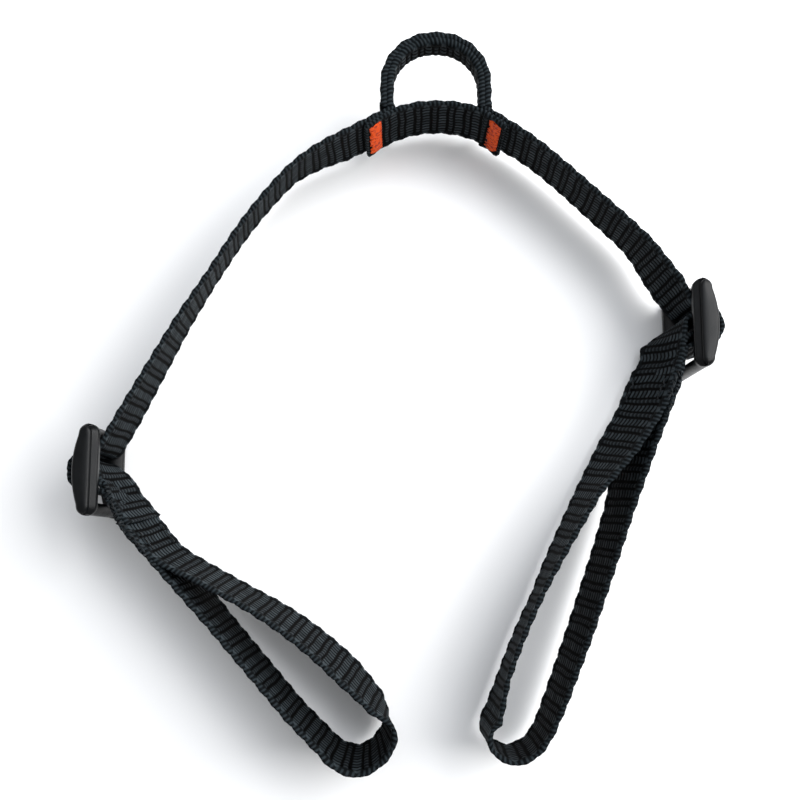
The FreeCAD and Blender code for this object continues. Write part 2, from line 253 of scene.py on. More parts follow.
def makeMouldedAcetal():
    # injection-moulded black acetal: satin faces with a fine grain, polished by rubbing in patches here and there
    look = acetalLook
    material = bpy.data.materials.new("mouldedAcetal")
    material.use_nodes = True
    tree = material.node_tree
    shader = tree.nodes["Principled BSDF"]
    place = addNode(tree, "ShaderNodeTexCoord", {}, {}).outputs["Object"]
    grain = addNode(tree, "ShaderNodeTexNoise", {}, {"Vector": place, "Scale": 1.0 / (look["grain"] * mm),
                                                     "Detail": 3.0})
    rubbed = addNode(tree, "ShaderNodeTexNoise", {}, {"Vector": place, "Scale": 160.0, "Detail": 4.0})
    share = addNode(tree, "ShaderNodeMapRange", {}, {0: rubbed.outputs[0], 1: 0.35, 2: 0.7, 3: 0.0, 4: 1.0})
    colour = addNode(tree, "ShaderNodeMix", {"data_type": "RGBA"},
                     {0: share, 6: srgb(look["colour"]), 7: srgb(look["worn"])})
    gloss = addNode(tree, "ShaderNodeMapRange", {},
                    {0: rubbed.outputs[0], 1: 0.3, 2: 0.7, 3: look["roughness"] - 0.06, 4: look["roughness"] + 0.1})
    bump = addNode(tree, "ShaderNodeBump", {}, {"Height": grain.outputs[0], "Distance": 0.05 * mm})
    tree.links.new(colour.outputs[2], shader.inputs["Base Color"])
    tree.links.new(gloss.outputs[0], shader.inputs["Roughness"])
    tree.links.new(bump.outputs[0], shader.inputs["Normal"])
    shader.inputs["IOR"].default_value = 1.48
    shader.inputs["Specular IOR Level"].default_value = acetalLook["specular"]
    return material


# Plans of the webbing, in millimetres

webbing = {
    "width": 25.0,
    "thickness": 1.3,
    "pitch": 1.4,          # from one layer to the next
    "low": 4.7,
    "repeat": 5.4,         # two picks of the weave
    "relief": 0.22,        # how far the ribs stand out of the ground
}

bow = {"radius": 32.7, "centre": -43.5, "coverHalf": 40.5, "tuck": 13.0, "tack": 35.5, "foot": (23.3, 28.3),
       "root": 22.0}

slide = {
    "post": 2.0, "postRun": 11.4, "inner": 3.2, "crown": 4.2, "shoulder": 2.5, "overhang": 0.2,
    "bar": 4.2, "high": 34.4, "ledge": 1.9, "step": 1.5, "edge": 1.4, "lower": {"left": 0.0, "right": 1.8},
}

wraps = {"wrap": 2.8, "pass": 6.2, "bend": 3.0, "gap": 0.1}

sides = {
    "left": {
        "mirror": -1, "exit": 28.0, "runs": (29.2, 25.0, 39.5, 47.1), "turns": (21.0, 9.4, 3.2),
        "bends": (60.0, 150.0, 150.0), "pivotRun": 13.0, "legAngle": 41.4, "legOffset": 0.1,
        "split": 33.3, "shoulder": 83.0, "length": 119.3, "far": 18.9,
        "radii": (25.0, 140.0, 6.5, 11.5), "tailRun": 20.0, "blendRun": 74.0,
        "shifts": [(20, 0.8, 1.2), (32, 0.6, 1.2), (50, -2.4, 1.0), (95, -2.3, 1.2), (125, -0.9, 0.4), (145, 0, 0),
                   (184, 0, 0), (196, 1.2, -3.8), (215, 1.0, -3.3), (235, 0, -2.8), (270, -0.3, -2.8),
                   (284, 0.8, -1.9), (294, 1.0, -3.0), (304, 3.0, -1.3), (310, 2.0, -0.6), (317, -1.2, 2.0), (330, -2.2, 3.1),
                   (352, -1.7, 2.8), (368, -0.9, 2.6), (384, -0.6, 3.0), (398, -0.6, 4.4), (410, -1.0, 4.4), (425, 0, 0),
                   (437, 0, 0), (445, 1.0, -3.6), (449, 0.1, -4.5)],
    },
    "right": {
        "mirror": 1, "exit": 31.5, "runs": (22.0, 38.7, 27.5), "turns": (11.5, 18.8),
        "bends": (90.0, 38.0), "pivotRun": 11.0, "legAngle": 21.0, "legOffset": 2.3,
        "split": 28.0, "shoulder": 98.0, "length": 139.5, "far": 19.1,
        "radii": (30.0, 200.0, 6.0, 10.0), "tailRun": 18.0, "blendRun": 56.0,
        "shifts": [(18, -0.4, -0.6), (30, -0.2, -1.0), (45, -1.1, -2.2), (78, -1.7, -2.2), (90, -1.8, -0.5),
                   (99, -1.4, 0.8), (106, 0, 0), (133, 0, 0), (145, -5.0, 1.8), (165, -5.5, 1.3), (186, -2.3, 1.2),
                   (200, -1.5, 1.5), (225, -0.8, 1.9), (246, -0.5, 1.5), (258, -0.6, 0.6), (268, 1.8, 2.4), (274, 1.4, 1.4),
                   (282, -0.3, -2.5), (294, -0.6, -0.5), (320, -0.4, 0.2), (332, 1.2, 0.4), (345, 3.1, 0.9),
                   (356, 4.6, 1.2), (372, 6.4, -1.2), (392, 7.6, -1.6), (400, 7.0, -1.8), (408, 3.6, -0.9), (414, 0, 0),
                   (429, 0, 0), (437, -5.6, 1.8), (441, -4.7, 2.7)],
    },
}


wovenPolyester = makeWovenPolyester()
blackThread = makeSewingThread("blackPolyesterThread", *threadLook["black"], 0.42)
orangeThread = makeSewingThread("orangeTackThread", *threadLook["orange"], 0.55)
mouldedAcetal = makeMouldedAcetal()
print("materials ready")


def unit(vector):
    return np.asarray(vector, float) / np.linalg.norm(vector)


def ahead(degrees):
    # the way that lies this far below the x axis
    return np.array((math.cos(math.radians(degrees)), -math.sin(math.radians(degrees))))


def arcPoints(centre, radius, start, end):
    count = max(3, int(abs(math.radians(end - start)) * radius / 0.08))
    angle = np.radians(np.linspace(start, end, count))
    return np.asarray(centre) + radius * np.column_stack((np.cos(angle), np.sin(angle)))


def measured(points, step=0.1):
    # evenly spaced points with their runs and headings
    points = np.asarray(points, float)
    keep = np.r_[True, np.linalg.norm(np.diff(points, axis=0), axis=1) > 1e-6]
    points = points[keep]
    run = np.r_[0, np.cumsum(np.linalg.norm(np.diff(points, axis=0), axis=1))]
    even = np.arange(0, run[-1], step)
    x, y = np.interp(even, run, points[:, 0]), np.interp(even, run, points[:, 1])
    heading = np.unwrap(np.arctan2(np.gradient(y), np.gradient(x)))
    return {"run": even, "x": x, "y": y, "heading": heading, "length": even[-1]}


def rounded(corners, mirror=1):
    # a route through corners (point, radius), with the runs at the start and end of each bend
    points, marks = [np.asarray(corners[0][0], float)], []
    travelled = 0.0
    for (before, _), (here, radius), (after, _) in zip(corners, corners[1:], corners[2:]):
        wayIn, wayOut = unit(here - before), unit(after - here)
        cross = wayIn[0] * wayOut[1] - wayIn[1] * wayOut[0]
        turn = math.atan2(cross, wayIn @ wayOut)
        trim = radius * math.tan(abs(turn) / 2)
        first = here - wayIn * trim
        inward = np.array((-wayIn[1], wayIn[0])) * math.copysign(1, turn)
        centre = first + inward * radius
        travelled += np.linalg.norm(first - points[-1])
        spoke = math.degrees(math.atan2(*(first - centre)[::-1]))
        points += list(arcPoints(centre, radius, spoke, spoke + math.degrees(turn)))
        marks.append((travelled, travelled + radius * abs(turn)))
        travelled += radius * abs(turn)
    points.append(np.asarray(corners[-1][0], float))
    route = measured(np.array(points) * (mirror, 1))
    route["marks"] = marks
    return route


def at(route, run):
    return np.column_stack([np.interp(run, route["run"], route[key]) for key in ("x", "y", "heading")])


def strapRoute(side):
    # the whole strap on one side: bow, arm, slide, loop and the sewn tail
    strapRadius = bow["radius"] + 2 * webbing["pitch"]
    corners = [((0.0, bow["centre"] + strapRadius), 0)]
    corners.append((corners[0][0] + ahead(0) * strapRadius * math.tan(math.radians(side["exit"] / 2)), strapRadius))
    place = np.array((0.0, bow["centre"])) + strapRadius * np.array((math.sin(math.radians(side["exit"])),
                                                                      math.cos(math.radians(side["exit"]))))
    heading = side["exit"]
    for run, turn, radius in zip(side["runs"], side["turns"] + (0,), side["bends"] + (wraps["bend"],)):
        place = place + ahead(heading) * run
        corners.append((place, radius))
        heading += turn
    centre = place + (2.0, -wraps["pass"])
    angle = math.radians(side["legAngle"])

    def beside(along, out):
        return centre + (out, -along)

    def leg(run, rise):
        return beside(run * math.cos(angle) - rise * math.sin(angle), -run * math.sin(angle) - rise * math.cos(angle))

    def bend(along, rise):
        return beside(along, -(rise + along * math.sin(angle)) / math.cos(angle))

    outer, inner, cut = (side["legOffset"] + layer * webbing["pitch"] for layer in range(3))
    split, shoulder, far, near = side["radii"]
    end, farSide = side["length"], side["far"]
    p, w, half = wraps["pass"], wraps["wrap"], wraps["gap"] / 2
    corners += [
        (beside(-p, p), p - half), (beside(p, p), p - half), (bend(p, outer), wraps["bend"]),
        (leg(end, outer), near), (leg(end, farSide), far), (leg(side["shoulder"], farSide), shoulder),
        (leg(side["split"], inner), split), (bend(w, inner), wraps["bend"]),
        (beside(w, w), w - half), (beside(-w, w), w - half), (bend(-w, cut), wraps["bend"]),
        (leg(side["tailRun"], cut), 0),
    ]
    route = rounded([(np.asarray(point, float), radius) for point, radius in corners], side["mirror"])
    flip = np.array((side["mirror"], 1))
    way = unit(leg(1, 0) - leg(0, 0)) * flip
    route.update(centre=centre * flip, legWay=way, armWay=ahead(heading) * flip, bends=len(side["runs"]))
    return route


def runOnLeg(route, mark, end, run):
    # the run along the strap at which a leg is this far from the slide's centre bar
    known = route["marks"][mark][end]
    here = at(route, [known])[0, :2]
    shift = run - (here - route["centre"]) @ route["legWay"]
    return known + (shift if end == 1 else -shift)


# Webbing as a mesh, ready for its weave

def strapRing(width, thickness, step):
    # outline of the cross-section: across, through and the way out at each point
    half = thickness / 2
    faces = np.linspace(half, width - half, int(width / step))
    angle = np.linspace(0, math.pi, 7)[1:-1]
    across = np.r_[faces, width - half + half * np.sin(angle), faces[::-1], half - half * np.sin(angle)]
    through = np.r_[np.full(len(faces), half), half * np.cos(angle), np.full(len(faces), -half), -half * np.cos(angle)]
    outAcross = np.r_[faces * 0, np.sin(angle), faces * 0, -np.sin(angle)]
    outThrough = np.r_[faces * 0 + 1, np.cos(angle), faces * 0 - 1, -np.cos(angle)]
    return across, through, outAcross, outThrough


def sweep(name, stations, ring, low, shift=None, along=None, lift=None, fromEdge=None):
    # stations: x, y, heading. The ring is (across, through, outAcross, outThrough), all in millimetres.
    across, through, outAcross, outThrough = ring
    stations = np.asarray(stations)
    count, size = len(stations), len(across)
    normal = np.column_stack((-np.sin(stations[:, 2]), np.cos(stations[:, 2])))
    points = np.zeros((count, size, 3))
    points[:, :, :2] = stations[:, None, :2] + normal[:, None, :] * through[None, :, None]
    points[:, :, 2] = low + across[None, :]
    if lift is not None:
        points[:, :, 2] += np.asarray(lift)[:, None]
    if shift is not None:
        share = (across / across.max())[None, :]
        stray = shift[:, 0][:, None] * (1 - share) + shift[:, 1][:, None] * share
        points[:, :, :2] += normal[:, None, :] * stray[:, :, None]
    outward = np.zeros((count, size, 3))
    outward[:, :, :2] = normal[:, None, :] * outThrough[None, :, None]
    outward[:, :, 2] = outAcross[None, :]
    index = np.arange(count * size).reshape(count, size)
    nextRing = np.roll(index, -1, axis=1)
    quads = np.stack((index[:-1], nextRing[:-1], nextRing[1:], index[1:]), axis=-1).reshape(-1, 4)
    faces = quads.tolist() + [index[0][::-1].tolist(), index[-1].tolist()]
    mesh = bpy.data.meshes.new(name)
    mesh.from_pydata((points.reshape(-1, 3) * mm).tolist(), [], faces)
    place = np.zeros((count, size, 3))
    place[:, :, 0] = np.asarray(along)[:, None]
    place[:, :, 1] = (across if fromEdge is None else fromEdge)[None, :]
    place[:, :, 2] = through[None, :]
    for label, values in (("place", place), ("outward", outward)):
        attribute = mesh.attributes.new(label, "FLOAT_VECTOR", "POINT")
        attribute.data.foreach_set("vector", values.reshape(-1).astype(np.float32))
    mesh.update()
    mesh.shade_smooth()
    return mesh


def makeWeaveTree():
    # a ribbed plain weave: smooth ribs and corded ribs by turns, with a scalloped selvage on both edges
    tree, given = newTree("webbingWeave", {
        "Geometry": "Geometry", "Repeat": "Float", "Smooth At": "Float", "Cord At": "Float", "Width": "Float",
        "Relief": "Float", "Selvage": "Float", "Selvage Relief": "Float", "Drift": "Float", "Seed": "Float",
        "Material": "Material",
    })
    place = addNode(tree, "GeometryNodeInputNamedAttribute", {"data_type": "FLOAT_VECTOR"}, {"Name": "place"})
    outward = addNode(tree, "GeometryNodeInputNamedAttribute", {"data_type": "FLOAT_VECTOR"}, {"Name": "outward"})
    along, across, through = addNode(tree, "ShaderNodeSeparateXYZ", {}, {0: place}).outputs
    slow = addNode(tree, "ShaderNodeVectorMath", {"operation": "MULTIPLY"}, {0: place, 1: (0.06, 0.08, 1.0)})
    uneven = addNode(tree, "ShaderNodeTexNoise", {"noise_dimensions": "2D"},
                     {"Vector": slow, "Scale": 1.0, "Detail": 1.0})
    drifted = addNode(tree, "ShaderNodeMath", {"operation": "MULTIPLY_ADD"},
                      {0: uneven.outputs[0], 1: given["Drift"], 2: along})
    phase = addNode(tree, "ShaderNodeMath", {"operation": "DIVIDE"}, {0: drifted, 1: given["Repeat"]})
    turn = addNode(tree, "ShaderNodeMath", {"operation": "FRACT"}, {0: phase})
    count = addNode(tree, "ShaderNodeMath", {"operation": "FLOOR"}, {0: phase})
    smoothRib = near(tree, turn, given["Smooth At"], 0.18, 0.04)
    cordRib = near(tree, turn, given["Cord At"], 0.29, 0.12)
    # each rib is packed a little differently
    chance = addNode(tree, "ShaderNodeTexWhiteNoise", {"noise_dimensions": "1D"},
                     {"W": addNode(tree, "ShaderNodeMath", {"operation": "ADD"}, {0: count, 1: given["Seed"]})})
    packed = addNode(tree, "ShaderNodeMapRange", {}, {0: chance.outputs[0], 3: 0.8, 4: 1.0})
    rib = addNode(tree, "ShaderNodeMath", {"operation": "MAXIMUM"}, {0: smoothRib, 1: cordRib})
    body = addNode(tree, "ShaderNodeMath", {"operation": "MULTIPLY"},
                   {0: addNode(tree, "ShaderNodeMath", {"operation": "MULTIPLY"}, {0: rib, 1: packed}),
                    1: given["Relief"]})
    # selvage: one long bump from one corded rib to the next
    rest = addNode(tree, "ShaderNodeMath", {"operation": "SUBTRACT"}, {0: given["Width"], 1: across})
    edge = addNode(tree, "ShaderNodeMath", {"operation": "MINIMUM"}, {0: across, 1: rest})
    innerLine = addNode(tree, "ShaderNodeMath", {"operation": "MULTIPLY"}, {0: given["Selvage"], 1: 1.3})
    inSelvage = addNode(tree, "ShaderNodeMapRange", {"interpolation_type": "SMOOTHSTEP"},
                        {0: edge, 1: given["Selvage"], 2: innerLine, 3: 1.0, 4: 0.0})
    fromCord = addNode(tree, "ShaderNodeMath", {"operation": "SUBTRACT"}, {0: phase, 1: given["Cord At"]})
    longWave = addNode(tree, "ShaderNodeMath", {"operation": "SINE"},
                       {0: addNode(tree, "ShaderNodeMath", {"operation": "MULTIPLY"}, {0: fromCord, 1: math.pi})})
    longArch = addNode(tree, "ShaderNodeMath", {"operation": "ABSOLUTE"}, {0: longWave})
    bump = addNode(tree, "ShaderNodeMath", {"operation": "POWER"}, {0: longArch, 1: 0.7})
    lobes = addNode(tree, "ShaderNodeMapRange", {}, {0: rib, 3: 0.72, 4: 1.0})
    selvage = addNode(tree, "ShaderNodeMath", {"operation": "MULTIPLY"},
                      {0: addNode(tree, "ShaderNodeMath", {"operation": "MULTIPLY"}, {0: bump, 1: lobes}),
                       1: given["Selvage Relief"]})
    height = addNode(tree, "ShaderNodeMix", {}, {0: inSelvage, 2: body, 3: selvage})
    metres = addNode(tree, "ShaderNodeMath", {"operation": "MULTIPLY"}, {0: height, 1: mm})
    move = addNode(tree, "ShaderNodeVectorMath", {"operation": "SCALE"}, {0: outward, "Scale": metres})
    moved = addNode(tree, "GeometryNodeSetPosition", {}, {"Geometry": given["Geometry"], "Offset": move})
    stored = addNode(tree, "GeometryNodeStoreNamedAttribute", {"data_type": "FLOAT", "domain": "POINT"},
                     {"Geometry": moved, "Name": "phase", "Value": phase})
    finishTree(tree, stored, given["Material"])
    return tree


weaveTree = makeWeaveTree()
weave = {"Repeat": webbing["repeat"], "Smooth At": webbingLook["smoothAt"], "Cord At": webbingLook["cordAt"],
         "Width": webbing["width"], "Relief": webbing["relief"], "Selvage": 2.0, "Selvage Relief": 0.5,
         "Drift": 0.9, "Seed": 3.0, "Material": wovenPolyester}
ringStep = {"along": 0.34, "across": 0.5}


def edgeShift(runs, shifts):
    # shifts: (run, lower edge, upper edge), how far the webbing's edges stray to the left of its route
    table = np.array(shifts, float)
    return np.column_stack([np.interp(runs, table[:, 0], table[:, column]) for column in (1, 2)])


def weaveStrap(name, route, start, end, side=1, shifts=None):
    runs = np.linspace(start, end, max(4, int(abs(end - start) / ringStep["along"])))
    ring = strapRing(webbing["width"], webbing["thickness"] - 2 * webbing["relief"], ringStep["across"])
    shift = edgeShift(runs, shifts) if shifts else None
    mesh = sweep(name, at(route, runs), ring, webbing["low"], shift, along=runs * side)
    return growMesh(name, mesh, weaveTree, weave)


routes = {name: strapRoute(side) for name, side in sides.items()}


for name, side in sides.items():
    route = routes[name]
    marks, bends = route["marks"], route["bends"]
    entry = bends                     # index of the bend at the slide's entry
    exitRun = marks[0][1]
    pivotRun = exitRun + side["pivotRun"]
    entryRun = marks[entry][0]
    outerRun = runOnLeg(route, entry + 3, 1, 8.0)
    innerRun = runOnLeg(route, entry + 8, 0, 8.0)
    tailRun = runOnLeg(route, entry + 11, 1, 8.0)
    freeEnd = entryRun - 3.5
    freeStart = freeEnd - side["blendRun"] - 4
    side["runsAt"] = {"border": pivotRun - 8, "outer": outerRun, "inner": innerRun, "tail": tailRun}

    arm = weaveStrap(name + "ArmWebbing", route, pivotRun - 8, freeStart, side["mirror"], side["shifts"])
    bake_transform(arm)
    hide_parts(name + "_arm_upper")
    free = weaveStrap(name + "FreeRunWebbing", route, freeStart, freeEnd, side["mirror"], side["shifts"])
    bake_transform(free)
    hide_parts(name + "_arm_lower")
    threaded = weaveStrap(name + "PassWebbing", route, freeEnd, outerRun, side["mirror"], side["shifts"])
    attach(threaded, name + "_adjuster")
    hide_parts(name + "_pass")
    wrapped = weaveStrap(name + "WrapWebbing", route, innerRun, tailRun, side["mirror"], side["shifts"])
    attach(wrapped, name + "_adjuster")
    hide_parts(name + "_sewn_end")
    loop = weaveStrap(name + "LoopWebbing", route, outerRun, innerRun, side["mirror"], side["shifts"])
    tail = weaveStrap(name + "TailWebbing", route, tailRun, route["length"], side["mirror"], side["shifts"])
    for piece, node in ((loop, "_loop"), (tail, "_cut_end")):
        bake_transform(piece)
        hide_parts(name + node)
    print(name, "webbing ready")

# Each arm's sewn end lies behind the cover
for name, side in sides.items():
    rootRun = math.radians(bow["root"]) * (bow["radius"] + 2 * webbing["pitch"])
    root = weaveStrap(name + "ArmRoot", routes[name], rootRun, side["runsAt"]["border"], side["mirror"], side["shifts"])
    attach(root, "centre")
    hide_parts(name + "_arm_root")

# Front cover with both ends folded under
bowCentre = np.array((0.0, bow["centre"]))
tuckEnd = bow["coverHalf"] - bow["tuck"]
foldRadius = webbing["pitch"] / 2
tuckRadius = bow["radius"] + webbing["pitch"]
half = bow["coverHalf"]
folds = []
for sign in (1, -1):
    angle = math.radians(90 + sign * half)
    folds.append(bowCentre + (bow["radius"] + foldRadius) * np.array((math.cos(angle), math.sin(angle))))
coverPoints = np.vstack((
    arcPoints(bowCentre, tuckRadius, 90 + tuckEnd, 90 + half),
    arcPoints(folds[0], foldRadius, 90 + half, 270 + half),
    arcPoints(bowCentre, bow["radius"], 90 + half, 90 - half),
    arcPoints(folds[1], foldRadius, -90 - half, 90 - half),
    arcPoints(bowCentre, tuckRadius, 90 - half, 90 - tuckEnd),
))
coverRoute = measured(coverPoints)
coverShifts = [(0, 0.5, 0.6), (20, 0.6, 0.5), (coverRoute["length"] / 2, 0.8, 0.2),
               (coverRoute["length"] - 20, 1.2, 0.9), (coverRoute["length"], 0.8, 0.7)]
frontCover = weaveStrap("frontCover", coverRoute, 0, coverRoute["length"], 1, coverShifts)
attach(frontCover, "centre")
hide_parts("front_cover")
for name, sign in (("left", 1), ("right", -1)):
    footRoute = measured(arcPoints(bowCentre, bow["radius"] + 3 * webbing["pitch"],
                                   90 + sign * bow["foot"][0], 90 + sign * bow["foot"][1]))
    foot = weaveStrap(name + "EyeFoot", footRoute, 0, footRoute["length"])
    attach(foot, "centre")
    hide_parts(name + "_eye_foot")
print("middle ready")

# Eye, from webbing folded lengthwise
eye = {"halfWidth": 15.7, "reach": 14.8, "corner": 15.0, "high": 10.0, "thick": 4.0, "slit": 1.5, "legs": 8.6, "inward": 0.3,
       "lift": 0.5}
hinge = np.array(joints["eye_swing"]["pos_m"]) / mm
crownY = hinge[1] + eye["reach"]


def foldedRing(high, thick, slit, step):
    # webbing doubled over: round at the fold below, with an open slit between both selvages above
    half = thick / 2
    lip = thick / 4
    angle = np.linspace(0, math.pi, 13)
    side = np.linspace(half, high - lip, int(high / step))
    lipAngle = np.linspace(0, math.pi, 7)[1:]
    profile = [(a, half) for a in side]
    profile += [(high - lip + lip * math.sin(t), half - lip + lip * math.cos(t)) for t in lipAngle]
    profile += [(high - lip - slit, 0.0)]
    profile += [(a, -t) for a, t in profile[-2::-1]]
    profile += [(half - half * math.sin(t), -half * math.cos(t)) for t in angle[1:-1]]
    profile = np.array(profile)
    tangent = np.roll(profile, -1, axis=0) - np.roll(profile, 1, axis=0)
    out = np.column_stack((tangent[:, 1], -tangent[:, 0]))
    # the slit's bottom lies between two equal points, so it has no way out and stays where it is
    size = np.linalg.norm(out, axis=1)[:, None]
    out = np.divide(out, size, out=np.zeros_like(out), where=size > 0)
    return profile[:, 0], profile[:, 1], -out[:, 0], -out[:, 1]


eyeCorners = [
    (np.array((-eye["halfWidth"], hinge[1] - eye["legs"])), 0), (np.array((-eye["halfWidth"], crownY)), eye["corner"]),
    (np.array((eye["halfWidth"], crownY)), eye["corner"]), (np.array((eye["halfWidth"], hinge[1] - eye["legs"])), 0),
]
eyeRoute = rounded(eyeCorners)
eyeRuns = np.linspace(0, eyeRoute["length"], int(eyeRoute["length"] / ringStep["along"]))
eyeRing = foldedRing(eye["high"], eye["thick"] - 2 * webbing["relief"], eye["slit"], ringStep["across"])
fromEnd = np.minimum(eyeRuns, eyeRoute["length"] - eyeRuns)
eyeLift = eye["lift"] * np.clip((9.0 - fromEnd) / 4.0, 0, 1)
eyeShift = np.full((len(eyeRuns), 2), -eye["inward"])
mesh = sweep("eyeBand", at(eyeRoute, eyeRuns), eyeRing, 29.7 - eye["high"], eyeShift, along=eyeRuns, lift=eyeLift,
             fromEdge=eye["high"] - eyeRing[0])
eyeBand = growMesh("eyeBand", mesh, weaveTree, dict(weave, Width=60.0, Seed=9.0))
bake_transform(eyeBand)
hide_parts("eye_band", "eye_fold_seam")
print("eye ready")

# Slides: a side bar with a stepped inner edge above and below, and three round bars between them

def slideBarRings():
    # each ring: (out, up) round the side bar's section; up is 0 at the inner side and 1 at the outer face
    tip = slide["postRun"] + slide["post"] + slide["overhang"]
    shoulder = slide["postRun"] - slide["post"] / 2
    rings = []
    for angle in np.linspace(-90, 90, 61):
        along = tip * math.sin(math.radians(angle))
        reach = abs(along) / shoulder
        outer = slide["crown"] - (slide["crown"] - slide["shoulder"]) * reach ** 2 if reach < 1 else slide["shoulder"]
        inner = -slide["inner"]
        past = max(0.0, (abs(along) - shoulder) / (tip - shoulder))
        close = 1 - math.sqrt(max(0.0, 1 - past ** 2.4))
        middle = (outer + inner) / 2
        outer, inner = outer + (middle - outer) * close, inner + (middle - inner) * close
        size = min(1.0, (outer - inner) / (slide["crown"] + slide["inner"]) * 2.2)
        edge, ledge, step = slide["edge"] * size, slide["ledge"] * size, slide["step"] * size
        drop = slide["edge"] * 0.8 * close
        top = slide["bar"] - drop
        section = [(inner + 0.3, drop * 0.5), (inner, 0.35 + drop * 0.5), (inner, top - step - 0.3),
                   (inner + 0.3, top - step), (inner + ledge - 0.15, top - step + 0.05), (inner + ledge, top - step + 0.2),
                   (inner + ledge + 0.1, top - 0.25), (inner + ledge + 0.35, top - 0.02)]
        section += [(inner + ledge + 0.35 + (outer - edge - inner - ledge - 0.35) * share,
                     top + 0.25 * size * math.sin(math.pi * (0.1 + 0.9 * share)) - 0.08 * size) for share in (0.25, 0.5, 0.75)]
        section += [(outer - edge + edge * math.sin(t), top - edge * 0.8 * (1 - math.cos(t)))
                    for t in np.linspace(0.0, math.pi / 2, 7)]
        section += [(outer, 0.5 + drop * 0.5), (outer - 0.15, 0.15 + drop * 0.5), (outer - 0.5, drop * 0.5)]
        rings.append((along, section))
    return rings


def makeSlide(name, route, mirror):
    # the lower side bar lies a little further in, because the slide leans
    points, faces = [], []

    def addRings(rings, flip):
        first, size = len(points), len(rings[0])
        for ring in rings:
            points.extend(ring)
        for i in range(len(rings) - 1):
            for j in range(size):
                quad = [first + i * size + j, first + i * size + (j + 1) % size,
                        first + (i + 1) * size + (j + 1) % size, first + (i + 1) * size + j]
                faces.append(quad if flip else quad[::-1])
        ends = [first + j for j in range(size)], [first + (len(rings) - 1) * size + j for j in range(size)]
        faces.append(ends[0][::-1] if flip else ends[0])
        faces.append(ends[1] if flip else ends[1][::-1])

    centre = route["centre"]

    def spot(along, out, z):
        return ((centre[0] + mirror * out) * mm, (centre[1] - along) * mm, z * mm)

    bars = slideBarRings()
    for top in (True, False):
        aside = 0.0 if top else slide["lower"][name]
        rings = [[spot(along, out - aside, slide["high"] - slide["bar"] + up if top else slide["bar"] - up)
                  for out, up in section] for along, section in bars]
        addRings(rings, top == (mirror > 0))
    for along in (-slide["postRun"], 0.0, slide["postRun"]):
        levels = np.linspace(slide["bar"] / 2, slide["high"] - slide["bar"] / 2, 60)
        rings = [[spot(along + slide["post"] * math.sin(t), slide["post"] * math.cos(t), z)
                  for t in np.linspace(0, 2 * math.pi, 25)[:-1]] for z in levels]
        addRings(rings, mirror < 0)
    mesh = bpy.data.meshes.new(name + "MouldedSlide")
    mesh.from_pydata(points, [], faces)
    mesh.materials.append(mouldedAcetal)
    mesh.shade_smooth()
    piece = bpy.data.objects.new(name + "MouldedSlide", mesh)
    bpy.context.scene.collection.objects.link(piece)
    return piece


for name, side in sides.items():
    piece = makeSlide(name, routes[name], side["mirror"])
    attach(piece, name + "_slide")
    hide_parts(name + "_slide")
print("slides ready")


# Stitches

